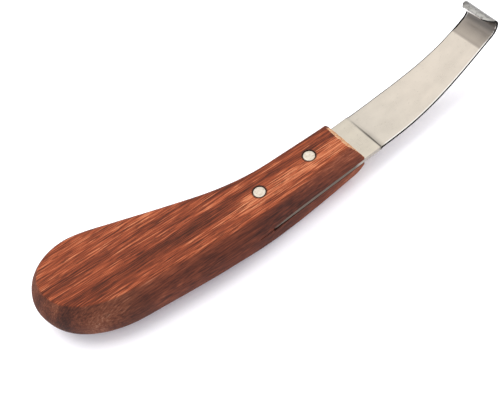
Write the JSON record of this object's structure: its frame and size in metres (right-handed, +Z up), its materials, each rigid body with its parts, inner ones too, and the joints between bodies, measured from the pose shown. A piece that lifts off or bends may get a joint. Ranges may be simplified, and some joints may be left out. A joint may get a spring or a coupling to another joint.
{
  "type": "hoof knife",
  "caption": "Curved ground steel hoof-trimming blade with a rolled hook at its tip, its tang pinned into a slotted, swept hardwood handle.",
  "frame": {"origin": "centre of the object's box in X and Y, at the height of the handle's flat underside", "axes": "+X along the tool from the handle's rounded end to the blade's hooked tip, +Z up out of the handle's top face, the side that the hook curls towards"},
  "size_m": [0.2108, 0.0498, 0.0359],
  "materials": {
    "wood": "oiled and buffed red-brown hardwood, straight grain with dark streaks",
    "steel": "satin ground stainless steel",
    "pin_metal": "filed flush with the wood"
  },
  "bodies": {
    "root": {"handle": "wood", "blade": "steel", "front_pin": "pin_metal", "rear_pin": "pin_metal"}
  },
  "joints": []
}
